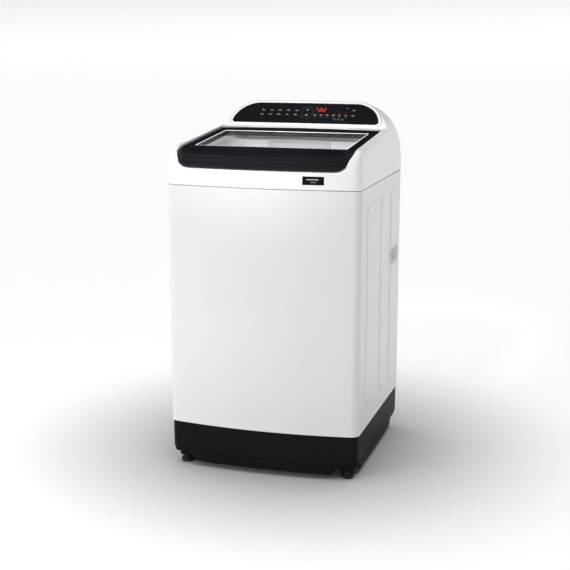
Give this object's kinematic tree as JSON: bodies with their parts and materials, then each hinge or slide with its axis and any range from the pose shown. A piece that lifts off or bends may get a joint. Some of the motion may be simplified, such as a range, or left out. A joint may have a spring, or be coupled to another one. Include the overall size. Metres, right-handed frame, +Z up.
{
  "type": "top load washing machine",
  "caption": "Free-standing top load washing machine: white cabinet on a black base, black lid with a glass window, arched console with a black control panel.",
  "frame": {"origin": "on the floor, under the middle of the overall box", "axes": "+X to the right seen from the front, +Y to the back, +Z up"},
  "size_m": [0.61, 0.64, 1.113],
  "materials": {
    "white_paint": "glossy white enamel",
    "zinc_sheet": "satin zinc coated sheet",
    "black_base": "satin black moulding",
    "white_cover": "glossy white moulding",
    "panel_gloss": "high gloss black",
    "display_red": "dark red lens",
    "chrome_trim": "bright ring",
    "badge_black": "gloss black plate",
    "tray_white": "satin pale moulding",
    "drawer_grey": "satin pale grey",
    "valve_white": "satin off-white",
    "black_fitting": "satin black",
    "grey_fitting": "satin grey",
    "board_green": "solder resist",
    "rubber_black": "matte",
    "rubber_foot": "matte with steel stud",
    "steel_bracket": "zinc plated",
    "steel_bright": "bright turned steel",
    "spring_steel": "spring steel",
    "pump_grey": "satin dark grey",
    "lid_black": "gloss black with a blue cast",
    "lid_glass": "clear tempered glass",
    "lid_inner": "satin black",
    "tub_plastic": "grey polypropylene",
    "cast_aluminium": "as cast",
    "stator_copper": "enamelled copper windings",
    "basket_steel": "perforated stainless steel",
    "basket_plastic": "satin grey",
    "ring_plastic": "satin pale grey",
    "pulsator_grey": "blue grey moulding",
    "rotor_steel": "zinc plated pressing",
    "key_black": "gloss black key"
  },
  "bodies": {
    "cabinet_body": {"cabinet": "white_paint", "rear_panel": "zinc_sheet", "base_frame": "black_base", "top_cover": "white_cover", "console_housing": "white_cover", "control_panel": "panel_gloss", "display_window": "display_red", "course_ring": "chrome_trim", "front_badge": "badge_black", "drawer_housing": "tray_white", "inlet_valves": "valve_white", "drain_spigot": "black_fitting", "cable_gland": "black_fitting", "main_board": "board_green", "display_board": "board_green", "pressure_sensor": "valve_white", "lid_lock": "grey_fitting", "lid_bumpers": "rubber_black", "hinge_brackets": "grey_fitting", "corner_brackets": "steel_bracket", "suspension_rods": "steel_bright", "rod_cups": "black_fitting", "drain_pump": "pump_grey", "sump_hose": "rubber_black", "screws": "steel_bright", "suspension_springs": "spring_steel"},
    "lid": {"lid_frame": "lid_black", "lid_glass": "lid_glass", "lid_inner_frame": "lid_inner", "hinge_pins": "steel_bright", "lid_striker": "grey_fitting"},
    "drawer": {"detergent_drawer": "tray_white", "drawer_front": "drawer_grey"},
    "tub": {"outer_tub": "tub_plastic", "tub_cover": "tub_plastic", "bearing_housing": "cast_aluminium", "bearings": "steel_bright", "stator": "stator_copper"},
    "basket": {"basket": "basket_steel", "basket_base": "basket_plastic", "balance_ring": "ring_plastic", "spin_shaft": "steel_bright"},
    "pulsator": {"pulsator": "pulsator_grey", "wash_shaft": "steel_bright", "rotor": "rotor_steel"},
    "impeller": {"pump_impeller": "black_fitting"},
    "power_key": {"power_key": "key_black"},
    "start_key": {"start_key": "key_black"},
    "course_up_key": {"course_up_key": "key_black"},
    "course_down_key": {"course_down_key": "key_black"},
    "option_key_1": {"option_key_1": "key_black"},
    "option_key_2": {"option_key_2": "key_black"},
    "option_key_3": {"option_key_3": "key_black"},
    "option_key_4": {"option_key_4": "key_black"},
    "option_key_5": {"option_key_5": "key_black"},
    "option_key_6": {"option_key_6": "key_black"},
    "foot_front_left": {"foot_front_left": "rubber_foot"},
    "foot_front_right": {"foot_front_right": "rubber_foot"},
    "foot_rear_left": {"foot_rear_left": "rubber_foot"},
    "foot_rear_right": {"foot_rear_right": "rubber_foot"}
  },
  "joints": [
    {"name": "lid_hinge", "type": "hinge", "parent": "cabinet_body", "child": "lid", "pos_m": [0, 0.124, 1.019], "axis": [-1, 0, 0], "range_deg": [0, 82]},
    {"name": "drawer_slide", "type": "slide", "parent": "cabinet_body", "child": "drawer", "axis": [0, -1, 0], "range_m": [0, 0.1]},
    {"name": "tub_bounce", "type": "slide", "parent": "cabinet_body", "child": "tub", "axis": [0, 0, 1], "range_m": [-0.008, 0.008], "stiffness_N_per_m": 24000, "springref_m": 0.013, "deforming": ["suspension_springs", "sump_hose"]},
    {"name": "basket_spin", "type": "hinge", "parent": "tub", "child": "basket", "pos_m": [0, -0.008, 0.5], "axis": [0, 0, 1], "continuous": true},
    {"name": "pulsator_spin", "type": "hinge", "parent": "tub", "child": "pulsator", "pos_m": [0, -0.008, 0.3], "axis": [0, 0, 1], "continuous": true},
    {"name": "impeller_spin", "type": "hinge", "parent": "cabinet_body", "child": "impeller", "pos_m": [0.12, 0.15, 0.085], "axis": [1, 0, 0], "continuous": true},
    {"name": "power_key_press", "type": "slide", "parent": "cabinet_body", "child": "power_key", "axis": [0, 0.7071, -0.7071], "range_m": [0, 0.001], "stiffness_N_per_m": 600, "springref_m": -0.0008},
    {"name": "start_key_press", "type": "slide", "parent": "cabinet_body", "child": "start_key", "axis": [0, 0.7071, -0.7071], "range_m": [0, 0.001], "stiffness_N_per_m": 600, "springref_m": -0.0008},
    {"name": "course_up_key_press", "type": "slide", "parent": "cabinet_body", "child": "course_up_key", "axis": [0, 0.7071, -0.7071], "range_m": [0, 0.001], "stiffness_N_per_m": 600, "springref_m": -0.0008},
    {"name": "course_down_key_press", "type": "slide", "parent": "cabinet_body", "child": "course_down_key", "axis": [0, 0.7071, -0.7071], "range_m": [0, 0.001], "stiffness_N_per_m": 600, "springref_m": -0.0008},
    {"name": "option_key_1_press", "type": "slide", "parent": "cabinet_body", "child": "option_key_1", "axis": [0, 0.7071, -0.7071], "range_m": [0, 0.001], "stiffness_N_per_m": 600, "springref_m": -0.0008},
    {"name": "option_key_2_press", "type": "slide", "parent": "cabinet_body", "child": "option_key_2", "axis": [0, 0.7071, -0.7071], "range_m": [0, 0.001], "stiffness_N_per_m": 600, "springref_m": -0.0008},
    {"name": "option_key_3_press", "type": "slide", "parent": "cabinet_body", "child": "option_key_3", "axis": [0, 0.7071, -0.7071], "range_m": [0, 0.001], "stiffness_N_per_m": 600, "springref_m": -0.0008},
    {"name": "option_key_4_press", "type": "slide", "parent": "cabinet_body", "child": "option_key_4", "axis": [0, 0.7071, -0.7071], "range_m": [0, 0.001], "stiffness_N_per_m": 600, "springref_m": -0.0008},
    {"name": "option_key_5_press", "type": "slide", "parent": "cabinet_body", "child": "option_key_5", "axis": [0, 0.7071, -0.7071], "range_m": [0, 0.001], "stiffness_N_per_m": 600, "springref_m": -0.0008},
    {"name": "option_key_6_press", "type": "slide", "parent": "cabinet_body", "child": "option_key_6", "axis": [0, 0.7071, -0.7071], "range_m": [0, 0.001], "stiffness_N_per_m": 600, "springref_m": -0.0008},
    {"name": "foot_front_left_screw", "type": "hinge", "parent": "cabinet_body", "child": "foot_front_left", "pos_m": [-0.262, -0.252, 0.03], "axis": [0, 0, 1], "continuous": true},
    {"name": "foot_front_right_screw", "type": "hinge", "parent": "cabinet_body", "child": "foot_front_right", "pos_m": [0.262, -0.252, 0.03], "axis": [0, 0, 1], "continuous": true},
    {"name": "foot_rear_left_screw", "type": "hinge", "parent": "cabinet_body", "child": "foot_rear_left", "pos_m": [-0.262, 0.252, 0.03], "axis": [0, 0, 1], "continuous": true},
    {"name": "foot_rear_right_screw", "type": "hinge", "parent": "cabinet_body", "child": "foot_rear_right", "pos_m": [0.262, 0.252, 0.03], "axis": [0, 0, 1], "continuous": true}
  ]
}
